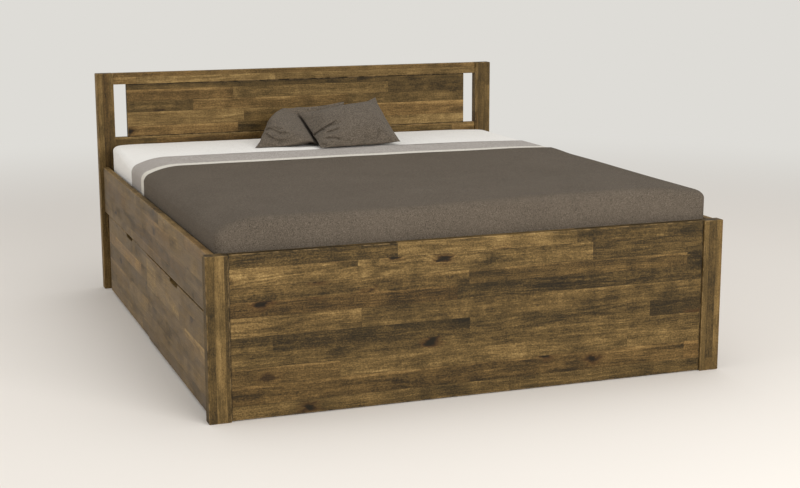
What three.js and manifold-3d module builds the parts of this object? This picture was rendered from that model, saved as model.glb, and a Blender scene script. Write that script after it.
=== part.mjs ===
// A double storage bed: a wooden frame with a slotted headboard, four drawers on
// wheels under the side rails, two slatted bases, a mattress and its bedding.
//
// Lengths are in millimetres. X runs across the bed, Y from the foot end to the
// head end, and Z up. The origin is on the floor under the middle of the bed.

import * as THREE from 'three';
import { mergeVertices } from 'three/addons/utils/BufferGeometryUtils.js';
import Module from 'manifold-3d';

const wasm = await Module();
wasm.setup();

// Driving dimensions: the mattress, the room that it has in the frame, and the frame's heights
const mattressWidth = 1776;
const mattressLength = 2010;
const mattressThickness = 195;
const mattressSideGap = 12;
const mattressFootGap = 12;
const mattressHeadGap = 53;
const headHeight = 966;
const footHeight = 552;

// Posts, and the eased edges of all boards
const postWidth = 75;
const postDepth = 45;
const postArris = 2;
const boardArris = 1.5;

// Boards between the posts
const panelThickness = 30;
const panelInset = 8;
const footPanelLift = 3;
const railThickness = 24;
const railHeight = 200;
const railInset = 16;

// Headboard. The slots take a share of its height between the top rail and the side rails
const headTopRailHeight = 50;
const headPanelThickness = 26;
const slotWidth = 58;
const slotHeightShare = 0.6456;

// Supports of the slatted bases
const ledgeThickness = 30;
const ledgeHeight = 30;
const beamWidth = 60;
const beamHeight = 60;
const legWidth = 60;
const hangerPlate = 3;
const hangerDepth = 45;
const hangerFlange = 22;
const hangerHeight = 48;

// Slatted bases
const slatCount = 14;
const slatWidth = 68;
const slatThickness = 8;
const slatRise = 12;
const slatSeat = 10;
const slatArcSteps = 6;
const stileWidth = 34;
const stileHeight = 38;
const baseGap = 8;
const baseEndGap = 20;

// Mattress and bedding
const mattressCornerRadius = 25;
const mattressBaseRadius = 20;
const mattressShoulderReach = 80;
const mattressShoulderDrop = 36;
const mattressCrown = 3;
const mattressCornerEaseShare = 0.5;
const padCornerSteps = 5;
const padBaseSteps = 3;
const padShoulderSteps = 6;
const padTopShares = [0.96, 0.5];
const bedspreadThickness = 4;
const blanketThickness = 3;
const softClearance = 0.5;
const bareHeadLength = 485;
const blanketBand = 295;
const tuckDepth = 52;

// Scatter cushions
const cushionSide = 370;
const cushionThickness = 124;
const cushionDrawIn = 20;
const cushionSteps = 14;

// Drawers
const drawerLift = 10;
const drawerTopGap = 5;
const drawerJointGap = 4;
const drawerFootGap = 3;
const drawerHeadGap = 75;
const footDrawerLength = 1070;
const headDrawerSetback = 4;
const boxBackGap = 86;
const boxSideMargin = 18;
const boxHeight = 238;
const boxBoard = 16;
const boxFloorHeight = 46;
const boxFloorThickness = 6;
const grooveDepth = 6;

// Finger notches in the drawer fronts, each placed from the end of its front nearer the foot
const notchTopWidth = 145;
const notchBottomWidth = 108;
const notchDepth = 14;
const footNotchFromEnd = 555;
const headNotchFromEnd = 394;
const notchCurveSteps = 6;

// Drawer wheels and the bolts that they turn on
const wheelRadius = 20;
const wheelWidth = 18;
const wheelHubRadius = 8.5;
const wheelWebHalfWidth = 4.5;
const wheelRimDepth = 5;
const treadCrown = 1;
const wheelSegments = 16;
const boltRadius = 4;
const boltHeadRadius = 7;
const boltHeadThickness = 3;
const boltSegments = 12;
const boltRoot = 2;
const wheelSideGap = 0.5;
const wheelBoreGap = 0.3;
const wheelFromFront = 70;
const wheelFromBack = 60;

// Pieces that rest on or meet each other keep this distance
const seatGap = 0.3;
// Cutting tools run this far past what they cut
const overrun = 5;

// Places that several pieces share
const clearLength = mattressFootGap + mattressLength + mattressHeadGap;
const bedLength = panelThickness + clearLength + postDepth;
const halfWidth = mattressWidth / 2 + mattressSideGap + railThickness + railInset;
const halfLength = bedLength / 2;
const postInnerX = halfWidth - postWidth;
const footPostInnerY = -halfLength + postDepth;
const headPostInnerY = halfLength - postDepth;
const railOuterX = halfWidth - railInset;
const railInnerX = railOuterX - railThickness;
const railBottom = footHeight - railHeight;
const footPanelFrontY = -halfLength + panelInset;
const footPanelBackY = footPanelFrontY + panelThickness;
const headBoardFrontY = headPostInnerY + panelInset;
const headBoardBackY = headBoardFrontY + panelThickness;
const ledgeTop = railBottom + beamHeight;
const baseBottom = ledgeTop + seatGap;
const slatTop = baseBottom + stileHeight + slatRise;
const mattressBottom = slatTop + seatGap;
const mattressTop = mattressBottom + mattressThickness;
const mattressFootY = footPanelBackY + mattressFootGap;
const mattressMiddleY = mattressFootY + mattressLength / 2;
const mattressHeadY = mattressFootY + mattressLength;
const bandHeadY = mattressHeadY - bareHeadLength;
const bandFootY = bandHeadY - blanketBand;

// Finishes
const darkWood = new THREE.MeshStandardMaterial({ color: 0x6b5636, roughness: 0.55 });
const paleWood = new THREE.MeshStandardMaterial({ color: 0xb39a72, roughness: 0.6 });
const steel = new THREE.MeshStandardMaterial({ color: 0x8d9094, roughness: 0.35, metalness: 0.9 });
const blackPlastic = new THREE.MeshStandardMaterial({ color: 0x26262a, roughness: 0.45 });
const whiteSheet = new THREE.MeshStandardMaterial({ color: 0xe9e6e0, roughness: 0.9 });
const checkedWool = new THREE.MeshStandardMaterial({ color: 0xa9a49d, roughness: 0.95 });
const taupeWeave = new THREE.MeshStandardMaterial({ color: 0x665b4f, roughness: 0.9 });
const taupeLinen = new THREE.MeshStandardMaterial({ color: 0x5f564c, roughness: 0.9 });

const bed = new THREE.Group();

function add(name, geometry, finish) {
  const mesh = new THREE.Mesh(geometry, finish);
  mesh.name = name;
  bed.add(mesh);
  return mesh;
}

// Solids for cutting and joining

function toSolid(geometry) {
  const bare = geometry.clone();
  bare.deleteAttribute('normal');
  bare.deleteAttribute('uv');
  const merged = mergeVertices(bare);
  return new wasm.Manifold(new wasm.Mesh({
    numProp: 3,
    vertProperties: new Float32Array(merged.attributes.position.array),
    triVerts: new Uint32Array(merged.index.array),
  }));
}

function toGeometry(solid) {
  const mesh = solid.getMesh();
  const geometry = new THREE.BufferGeometry();
  geometry.setAttribute('position', new THREE.BufferAttribute(new Float32Array(mesh.vertProperties), 3));
  geometry.setIndex(new THREE.BufferAttribute(new Uint32Array(mesh.triVerts), 1));
  const faceted = geometry.toNonIndexed();
  faceted.computeVertexNormals();
  return faceted;
}

function cut(geometry, ...tools) {
  return toGeometry(tools.reduce((solid, tool) => solid.subtract(toSolid(tool)), toSolid(geometry)));
}

function join(geometry, ...others) {
  return toGeometry(others.reduce((solid, other) => solid.add(toSolid(other)), toSolid(geometry)));
}

// A plain block between two corners, for cutting tools and metal plates
function block(xRange, yRange, zRange) {
  const [size, middle] = sizeAndMiddle(xRange, yRange, zRange);
  return new THREE.BoxGeometry(...size).translate(...middle);
}

function sizeAndMiddle(...ranges) {
  const size = ranges.map(([from, to]) => Math.abs(to - from));
  const middle = ranges.map(([from, to]) => (from + to) / 2);
  return [size, middle];
}

// A board whose twelve edges are eased, centred on its own middle
function easedBoard([width, depth, height], arris) {
  const x = width / 2;
  const y = depth / 2;
  const outline = new THREE.Shape([
    new THREE.Vector2(-x + arris, -y),
    new THREE.Vector2(x - arris, -y),
    new THREE.Vector2(x, -y + arris),
    new THREE.Vector2(x, y - arris),
    new THREE.Vector2(x - arris, y),
    new THREE.Vector2(-x + arris, y),
    new THREE.Vector2(-x, y - arris),
    new THREE.Vector2(-x, -y + arris),
  ]);
  const geometry = extrudeEased(outline, height, arris);
  return geometry.translate(0, 0, -height / 2);
}

function extrudeEased(outline, thickness, arris, curveSteps = 1) {
  const geometry = new THREE.ExtrudeGeometry(outline, {
    depth: thickness - 2 * arris,
    curveSegments: curveSteps,
    bevelEnabled: true,
    bevelThickness: arris,
    bevelSize: arris,
    bevelOffset: -arris,
    bevelSegments: 1,
  });
  return geometry.translate(0, 0, arris);
}

function addBoard(name, finish, xRange, yRange, zRange, arris = boardArris) {
  const [size, middle] = sizeAndMiddle(xRange, yRange, zRange);
  const mesh = add(name, easedBoard(size, arris), finish);
  mesh.position.set(...middle);
}

// Frame

const betweenPosts = [-postInnerX + seatGap, postInnerX - seatGap];
const sides = [
  { name: 'left', sign: -1 },
  { name: 'right', sign: 1 },
];

function addPosts() {
  for (const { name, sign } of sides) {
    const across = [sign * halfWidth, sign * postInnerX];
    const footDepth = [-halfLength, footPostInnerY];
    const headDepth = [headPostInnerY, halfLength];
    addBoard(`foot_post_${name}`, darkWood, across, footDepth, [0, footHeight], postArris);
    addBoard(`head_post_${name}`, darkWood, across, headDepth, [0, headHeight], postArris);
  }
}

function addEndBoards() {
  const footDepth = [footPanelFrontY, footPanelBackY];
  const headDepth = [headBoardFrontY, headBoardBackY];
  addBoard('foot_panel', darkWood, betweenPosts, footDepth, [footPanelLift, footHeight]);
  addBoard('head_end_board', darkWood, betweenPosts, headDepth, [railBottom, footHeight - seatGap]);
}

// The headboard's panel stops short of the posts, which leaves a tall slot at each end
function addHeadboard() {
  const depth = [headBoardFrontY, headBoardBackY];
  const slotTop = headHeight - headTopRailHeight;
  const slotBottom = slotTop - slotHeightShare * (slotTop - footHeight);
  const panelHalfWidth = postInnerX - slotWidth;
  const panelRecess = (panelThickness - headPanelThickness) / 2;
  addBoard('headboard_top_rail', darkWood, betweenPosts, depth, [slotTop, headHeight]);
  addBoard('headboard_lower_rail', darkWood, betweenPosts, depth, [footHeight, slotBottom]);
  addBoard('headboard_panel', darkWood, [-panelHalfWidth, panelHalfWidth],
    [headBoardFrontY + panelRecess, headBoardBackY - panelRecess],
    [slotBottom + seatGap, slotTop - seatGap]);
}

function addSideRails() {
  const along = [footPostInnerY + seatGap, headPostInnerY - seatGap];
  for (const { name, sign } of sides) {
    addBoard(`side_rail_${name}`, darkWood, [sign * railOuterX, sign * railInnerX], along,
      [railBottom, footHeight]);
    const ledgeOuterX = railInnerX - seatGap;
    addBoard(`slat_ledge_${name}`, paleWood, [sign * ledgeOuterX, sign * (ledgeOuterX - ledgeThickness)],
      [footPanelBackY + baseEndGap, headBoardFrontY - baseEndGap], [ledgeTop - ledgeHeight, ledgeTop]);
  }
}

// Supports in the middle

function addCentreSupport() {
  const beamFoot = footPanelBackY + hangerPlate + 2 * seatGap;
  const beamHead = headBoardFrontY - hangerPlate - 2 * seatGap;
  const beamHalf = beamWidth / 2;
  addBoard('centre_beam', paleWood, [-beamHalf, beamHalf], [beamFoot, beamHead], [railBottom, ledgeTop]);
  const legHalf = legWidth / 2;
  addBoard('centre_leg', paleWood, [-legHalf, legHalf], [-legHalf, legHalf], [0, railBottom - seatGap]);
  addHanger('beam_hanger_foot', footPanelBackY + seatGap, 1);
  addHanger('beam_hanger_head', headBoardFrontY - seatGap, -1);
}

// A bent steel seat: a back plate with two flanges, two cheeks and a shelf under the beam
function addHanger(name, wallY, towards) {
  const cheekInner = beamWidth / 2 + seatGap;
  const cheekOuter = cheekInner + hangerPlate;
  const shelfTop = railBottom - seatGap;
  const shelfBottom = shelfTop - hangerPlate;
  const top = shelfBottom + hangerHeight;
  const plateY = [wallY, wallY + towards * hangerPlate];
  const fullY = [wallY, wallY + towards * hangerDepth];
  const flangeOuter = cheekOuter + hangerFlange;
  const backPlate = block([-flangeOuter, flangeOuter], plateY, [shelfBottom, top]);
  const shelf = block([-cheekOuter, cheekOuter], fullY, [shelfBottom, shelfTop]);
  const leftCheek = block([-cheekOuter, -cheekInner], fullY, [shelfBottom, top]);
  const rightCheek = block([cheekInner, cheekOuter], fullY, [shelfBottom, top]);
  add(name, join(backPlate, shelf, leftCheek, rightCheek), steel);
}

// Slatted bases

// One sprung slat: a thin arch across the base, cut to its width along Y
function archedSlat(span) {
  const half = span / 2;
  const radius = (half * half + slatRise * slatRise) / (2 * slatRise);
  const reach = Math.asin(half / radius);
  const leftAngle = Math.PI / 2 + reach;
  const rightAngle = Math.PI / 2 - reach;
  const outline = new THREE.Shape();
  outline.absarc(0, slatRise - radius, radius, leftAngle, rightAngle, true);
  outline.absarc(0, slatRise - radius, radius - slatThickness, rightAngle, leftAngle, false);
  const geometry = new THREE.ExtrudeGeometry(outline, {
    depth: slatWidth,
    curveSegments: slatArcSteps,
    bevelEnabled: false,
  });
  return geometry.rotateX(Math.PI / 2).translate(0, slatWidth / 2, 0);
}

function slattedBase(outerX, innerX, footY, headY) {
  const low = Math.min(outerX, innerX);
  const high = Math.max(outerX, innerX);
  const stileZ = [baseBottom, baseBottom + stileHeight];
  const leftStile = block([low, low + stileWidth], [footY, headY], stileZ);
  const rightStile = block([high - stileWidth, high], [footY, headY], stileZ);
  const span = high - low - 2 * (stileWidth - slatSeat);
  const pitch = (headY - footY) / slatCount;
  const slats = [];
  for (let i = 0; i < slatCount; i += 1) {
    const y = footY + pitch * (i + 1 / 2);
    slats.push(archedSlat(span).translate((low + high) / 2, y, slatTop - slatRise));
  }
  return join(leftStile, rightStile, ...slats);
}

function addSlattedBases() {
  const outer = railInnerX - baseGap;
  const footY = footPanelBackY + baseEndGap;
  const headY = headBoardFrontY - baseEndGap;
  for (const { name, sign } of sides) {
    const geometry = slattedBase(sign * outer, sign * seatGap, footY, headY);
    add(`slatted_base_${name}`, geometry, paleWood);
  }
}

// Mattress and bedding

// A rounded rectangle, run round anticlockwise and pulled in by an inset. The further it is
// pulled in, the rounder its corners
function padOutline(width, length, cornerRadius, inset) {
  const radius = cornerRadius + mattressCornerEaseShare * inset;
  const x = width / 2 - inset - radius;
  const y = length / 2 - inset - radius;
  const corners = [[x, y], [-x, y], [-x, -y], [x, -y]];
  return corners.flatMap(([cx, cy], quarter) => {
    const points = [];
    for (let i = 0; i <= padCornerSteps; i += 1) {
      const angle = (quarter + i / padCornerSteps) * Math.PI / 2;
      points.push([cx + radius * Math.cos(angle), cy + radius * Math.sin(angle)]);
    }
    return points;
  });
}

// A closed skin over rings of equal count, with a point at each end
function skinOverRings(rings, bottomPoint, topPoint) {
  const count = rings[0].length;
  const positions = [bottomPoint, ...rings.flat(), topPoint].flat();
  const topIndex = rings.length * count + 1;
  const faces = [];
  for (let i = 0; i < count; i += 1) {
    const next = (i + 1) % count;
    faces.push(0, 1 + next, 1 + i);
    for (let ring = 0; ring < rings.length - 1; ring += 1) {
      const lower = 1 + ring * count;
      const upper = lower + count;
      faces.push(lower + i, lower + next, upper + next);
      faces.push(lower + i, upper + next, upper + i);
    }
    const last = 1 + (rings.length - 1) * count;
    faces.push(last + i, last + next, topIndex);
  }
  const geometry = new THREE.BufferGeometry();
  geometry.setAttribute('position', new THREE.Float32BufferAttribute(positions, 3));
  geometry.setIndex(faces);
  geometry.computeVertexNormals();
  return geometry;
}

// The mattress form, grown on all sides but its underside by an offset. Its top falls away to
// its sides in a soft shoulder
function padBlock(offset) {
  const width = mattressWidth + 2 * offset;
  const length = mattressLength + 2 * offset;
  const corner = mattressCornerRadius + offset;
  const base = mattressBaseRadius + offset;
  const reach = mattressShoulderReach + offset;
  const drop = mattressShoulderDrop + offset;
  const height = mattressThickness + offset;
  const shoulder = height - mattressCrown;
  const ring = (inset, z) => padOutline(width, length, corner, inset).map(([x, y]) => [x, y, z]);
  const rings = [];
  for (let i = 0; i <= padBaseSteps; i += 1) {
    const angle = (i / padBaseSteps) * Math.PI / 2;
    rings.push(ring(base * (1 - Math.sin(angle)), base * (1 - Math.cos(angle))));
  }
  for (let i = 0; i <= padShoulderSteps; i += 1) {
    const angle = (i / padShoulderSteps) * Math.PI / 2;
    rings.push(ring(reach * (1 - Math.cos(angle)), shoulder - drop * (1 - Math.sin(angle))));
  }
  const flat = rings[rings.length - 1];
  for (const share of padTopShares) {
    rings.push(flat.map(([x, y]) => [x * share, y * share, height]));
  }
  return skinOverRings(rings, [0, 0, 0], [0, 0, height]).translate(0, mattressMiddleY, mattressBottom);
}

// A cover laid over the mattress from one place along the bed to another, tucked inside the rails
function padCover(thickness, fromY, toY) {
  const reachX = halfWidth;
  const hem = footHeight - tuckDepth;
  const below = block([-reachX, reachX], [-halfLength, halfLength], [0, hem]);
  const footward = block([-reachX, reachX], [-halfLength - overrun, fromY], [0, headHeight]);
  const headward = block([-reachX, reachX], [toY, halfLength + overrun], [0, headHeight]);
  const outer = padBlock(softClearance + thickness);
  return cut(outer, padBlock(softClearance), below, footward, headward);
}

function addMattressAndBedding() {
  add('mattress', padBlock(0), whiteSheet);
  add('bedspread', padCover(bedspreadThickness, -halfLength, bandFootY - seatGap), taupeWeave);
  add('plaid_blanket', padCover(blanketThickness, bandFootY, bandHeadY), checkedWool);
}

// Scatter cushions

// A plump square: full in the middle, thin at the seam, its sides drawn in between the corners
function cushionForm(offset) {
  const half = cushionSide / 2 + offset;
  const halfThickness = cushionThickness / 2 + offset;
  const rowLength = cushionSteps + 1;
  const positions = [];
  const faces = [];
  for (const face of [1, -1]) {
    for (let i = 0; i <= cushionSteps; i += 1) {
      for (let j = 0; j <= cushionSteps; j += 1) {
        const u = Math.sin((i / cushionSteps - 1 / 2) * Math.PI);
        const v = Math.sin((j / cushionSteps - 1 / 2) * Math.PI);
        const x = u * (half - cushionDrawIn * (1 - v * v) * u * u);
        const y = v * (half - cushionDrawIn * (1 - u * u) * v * v);
        const rise = Math.sqrt(Math.max(0, (1 - u * u) * (1 - v * v)));
        positions.push(x, y, face * rise * halfThickness);
      }
    }
  }
  const at = (face, i, j) => (face * rowLength + i) * rowLength + j;
  for (let i = 0; i < cushionSteps; i += 1) {
    for (let j = 0; j < cushionSteps; j += 1) {
      faces.push(at(0, i, j), at(0, i + 1, j), at(0, i + 1, j + 1));
      faces.push(at(0, i, j), at(0, i + 1, j + 1), at(0, i, j + 1));
      faces.push(at(1, i, j), at(1, i + 1, j + 1), at(1, i + 1, j));
      faces.push(at(1, i, j), at(1, i, j + 1), at(1, i + 1, j + 1));
    }
  }
  const geometry = new THREE.BufferGeometry();
  geometry.setAttribute('position', new THREE.Float32BufferAttribute(positions, 3));
  geometry.setIndex(faces);
  const sewn = mergeVertices(geometry);
  sewn.computeVertexNormals();
  return sewn;
}

// Where each cushion lies: its middle, in shares of its side from the middle of the mattress's
// head end, and the turn about Z, the prop towards the headboard and the lean across, in degrees
const rearPlace = { acrossShare: -0.268, fromHeadShare: 0.62, turn: -17, prop: 23.5, lean: 1 };
const frontPlace = { acrossShare: 0.305, fromHeadShare: 0.84, turn: -1, prop: 26, lean: 2 };

function placedCushion(place, offset) {
  const pose = new THREE.Euler(
    THREE.MathUtils.degToRad(place.prop),
    THREE.MathUtils.degToRad(-place.lean),
    THREE.MathUtils.degToRad(place.turn),
    'ZYX',
  );
  const turned = new THREE.Matrix4().makeRotationFromEuler(pose);
  const bare = cushionForm(0).applyMatrix4(turned);
  bare.computeBoundingBox();
  const middleX = place.acrossShare * cushionSide;
  const middleY = mattressHeadY - place.fromHeadShare * cushionSide;
  const middleZ = mattressTop + seatGap - bare.boundingBox.min.z;
  return cushionForm(offset).applyMatrix4(turned).translate(middleX, middleY, middleZ);
}

// The front cushion lies partly on the rear one, which is pressed in where they meet
function addCushions() {
  const pressed = cut(placedCushion(rearPlace, 0), placedCushion(frontPlace, softClearance));
  add('cushion_left', pressed, taupeLinen);
  add('cushion_right', placedCushion(frontPlace, 0), taupeLinen);
}

// Drawers

const alongAcross = new THREE.Matrix4().makeBasis(
  new THREE.Vector3(0, 1, 0),
  new THREE.Vector3(0, 0, 1),
  new THREE.Vector3(1, 0, 0),
);

// A front's outline, length by height, with a finger notch let into its top edge
function frontOutline(length, height, notchMiddle) {
  const floor = height - notchDepth;
  const topHalf = notchTopWidth / 2;
  const bottomHalf = notchBottomWidth / 2;
  const bend = (topHalf - bottomHalf) / 2;
  const outline = new THREE.Shape();
  outline.moveTo(boardArris, 0);
  outline.lineTo(length - boardArris, 0);
  outline.lineTo(length, boardArris);
  outline.lineTo(length, height - boardArris);
  outline.lineTo(length - boardArris, height);
  outline.lineTo(notchMiddle + topHalf, height);
  outline.bezierCurveTo(
    notchMiddle + topHalf - bend, height,
    notchMiddle + bottomHalf + bend, floor,
    notchMiddle + bottomHalf, floor,
  );
  outline.lineTo(notchMiddle - bottomHalf, floor);
  outline.bezierCurveTo(
    notchMiddle - bottomHalf - bend, floor,
    notchMiddle - topHalf + bend, height,
    notchMiddle - topHalf, height,
  );
  outline.lineTo(boardArris, height);
  outline.lineTo(0, height - boardArris);
  outline.lineTo(0, boardArris);
  return outline;
}

// The groove that holds the drawer's bottom panel
const grooveZ = [boxFloorHeight - seatGap, boxFloorHeight + boxFloorThickness + seatGap];
const bottomInGroove = grooveDepth - seatGap;

function addDrawerFront(drawer) {
  const [footY, headY] = drawer.front;
  const height = railBottom - drawerTopGap - drawerLift;
  const outline = frontOutline(headY - footY, height, drawer.notchY - footY);
  const board = extrudeEased(outline, railThickness, boardArris, notchCurveSteps);
  board.applyMatrix4(alongAcross);
  board.translate(Math.min(drawer.frontX, drawer.boxX), footY, drawerLift);
  const grooveX = [drawer.boxX - drawer.sign * overrun, drawer.boxX + drawer.sign * grooveDepth];
  const groove = block(grooveX, drawer.floorY, grooveZ);
  add(`${drawer.name}_front`, cut(board, groove), darkWood);
}

function addDrawerSide(drawer, end, outerY, inward) {
  const innerY = outerY + inward * boxBoard;
  const sideBottom = wheelRadius - boltHeadRadius;
  const x = [drawer.boxX - drawer.sign * seatGap, drawer.backX];
  const [size, middle] = sizeAndMiddle(x, [outerY, innerY], [sideBottom, boxFloorHeight + boxHeight]);
  const board = easedBoard(size, boardArris).translate(...middle);
  const grooveY = [innerY - inward * grooveDepth, innerY + inward * overrun];
  const groove = block([drawer.frontX, drawer.backX - drawer.sign * overrun], grooveY, grooveZ);
  const bolts = drawer.wheelX.map((wheelX) => axleBolt(wheelX, innerY, inward));
  add(`${drawer.name}_side_${end}`, join(cut(board, groove), ...bolts), paleWood);
}

// A headed bolt that stands out of a side board, for a wheel to turn on
function axleBolt(x, faceY, inward) {
  const shankLength = wheelWidth + 2 * wheelSideGap;
  const rootY = faceY - inward * boltRoot;
  const headY = faceY + inward * shankLength;
  const tipY = headY + inward * boltHeadThickness;
  return join(barAlongY(boltRadius, x, rootY, tipY), barAlongY(boltHeadRadius, x, headY, tipY));
}

function barAlongY(radius, x, fromY, toY) {
  const bar = new THREE.CylinderGeometry(radius, radius, Math.abs(toY - fromY), boltSegments);
  return bar.translate(x, (fromY + toY) / 2, wheelRadius);
}

function addDrawerBack(drawer) {
  const innerX = drawer.backX + drawer.sign * boxBoard;
  const [footY, headY] = drawer.insideY;
  const y = [footY + seatGap, headY - seatGap];
  const [size, middle] = sizeAndMiddle([drawer.backX, innerX], y,
    [boxFloorHeight - boxBoard, boxFloorHeight + boxHeight]);
  const board = easedBoard(size, boardArris).translate(...middle);
  const grooveX = [innerX - drawer.sign * grooveDepth, innerX + drawer.sign * overrun];
  const groove = block(grooveX, [footY - overrun, headY + overrun], grooveZ);
  add(`${drawer.name}_back`, cut(board, groove), paleWood);
}

function addDrawerBottom(drawer) {
  const backX = drawer.backX + drawer.sign * (boxBoard - bottomInGroove);
  const frontX = drawer.boxX + drawer.sign * bottomInGroove;
  const [footY, headY] = drawer.insideY;
  const panel = block([backX, frontX], [footY - bottomInGroove, headY + bottomInGroove],
    [boxFloorHeight, boxFloorHeight + boxFloorThickness]);
  add(`${drawer.name}_bottom`, panel, paleWood);
}

// A wheel with a hub, a thin web and a crowned rim, turned about its own Y axis
function wheelForm() {
  const bore = boltRadius + wheelBoreGap;
  const half = wheelWidth / 2;
  const rim = wheelRadius - wheelRimDepth;
  const profile = [
    [bore, -half],
    [wheelHubRadius, -half],
    [wheelHubRadius, -wheelWebHalfWidth],
    [rim, -wheelWebHalfWidth],
    [rim, -half],
    [wheelRadius - treadCrown, -half],
    [wheelRadius, 0],
    [wheelRadius - treadCrown, half],
    [rim, half],
    [rim, wheelWebHalfWidth],
    [wheelHubRadius, wheelWebHalfWidth],
    [wheelHubRadius, half],
    [bore, half],
    [bore, -half],
  ];
  return new THREE.LatheGeometry(profile.map(([r, y]) => new THREE.Vector2(r, y)), wheelSegments);
}

function addDrawerWheels(drawer) {
  const ends = [
    { end: 'foot', faceY: drawer.insideY[0], inward: 1 },
    { end: 'head', faceY: drawer.insideY[1], inward: -1 },
  ];
  for (const { end, faceY, inward } of ends) {
    drawer.wheelX.forEach((x, index) => {
      const place = index === 0 ? 'outer' : 'inner';
      const mesh = add(`${drawer.name}_wheel_${end}_${place}`, wheelForm(), blackPlastic);
      mesh.position.set(x, faceY + inward * (wheelSideGap + wheelWidth / 2), wheelRadius);
    });
  }
}

function addDrawer(name, sign, front, notchFromEnd, setback) {
  const notchY = front[0] + notchFromEnd;
  const frontX = sign * (railOuterX - setback);
  const boxX = frontX - sign * railThickness;
  const backX = sign * (legWidth / 2 + boxBackGap);
  const outsideY = [front[0] + boxSideMargin, front[1] - boxSideMargin];
  const insideY = [outsideY[0] + boxBoard, outsideY[1] - boxBoard];
  const floorY = [insideY[0] - grooveDepth, insideY[1] + grooveDepth];
  const wheelX = [boxX - sign * wheelFromFront, backX + sign * wheelFromBack];
  const drawer = { name, sign, front, notchY, frontX, boxX, backX, insideY, floorY, wheelX };
  addDrawerFront(drawer);
  addDrawerSide(drawer, 'foot', outsideY[0], 1);
  addDrawerSide(drawer, 'head', outsideY[1], -1);
  addDrawerBack(drawer);
  addDrawerBottom(drawer);
  addDrawerWheels(drawer);
}

function addDrawers() {
  const footEnd = footPostInnerY + drawerFootGap;
  const jointFoot = footEnd + footDrawerLength;
  const footFront = [footEnd, jointFoot];
  const headFront = [jointFoot + drawerJointGap, headPostInnerY - drawerHeadGap];
  for (const { name, sign } of sides) {
    addDrawer(`drawer_foot_${name}`, sign, footFront, footNotchFromEnd, 0);
    addDrawer(`drawer_head_${name}`, sign, headFront, headNotchFromEnd, headDrawerSetback);
  }
}

addPosts();
addEndBoards();
addHeadboard();
addSideRails();
addCentreSupport();
addSlattedBases();
addMattressAndBedding();
addCushions();
addDrawers();

export default bed;
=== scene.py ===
# A double storage bed of dark rustic wood, made up with a sheet, a blanket, a bedspread
# and two scatter cushions. Lengths are in metres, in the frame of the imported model.
import itertools
import math
from dataclasses import dataclass

import bmesh
import bpy
import numpy as np
from mathutils import Euler, Matrix, Vector, noise


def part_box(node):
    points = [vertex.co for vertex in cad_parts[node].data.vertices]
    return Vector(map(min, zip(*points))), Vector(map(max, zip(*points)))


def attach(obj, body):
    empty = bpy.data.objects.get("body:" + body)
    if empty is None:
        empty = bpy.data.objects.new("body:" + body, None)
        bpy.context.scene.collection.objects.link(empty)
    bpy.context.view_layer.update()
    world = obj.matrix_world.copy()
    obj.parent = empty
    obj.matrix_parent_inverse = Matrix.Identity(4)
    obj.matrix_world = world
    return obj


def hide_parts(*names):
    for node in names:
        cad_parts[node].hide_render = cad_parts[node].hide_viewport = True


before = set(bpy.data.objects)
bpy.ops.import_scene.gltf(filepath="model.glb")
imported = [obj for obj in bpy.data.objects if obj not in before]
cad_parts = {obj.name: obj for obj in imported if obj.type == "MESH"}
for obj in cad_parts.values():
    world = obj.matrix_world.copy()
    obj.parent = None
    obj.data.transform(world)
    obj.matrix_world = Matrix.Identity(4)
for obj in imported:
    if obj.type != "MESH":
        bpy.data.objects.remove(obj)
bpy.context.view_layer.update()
scene = bpy.context.scene

FRAME_BODY = "bed_frame"
SIDES = ("left", "right")
ENDS = ("foot", "head")


# Nodes of materials and of the world

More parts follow.
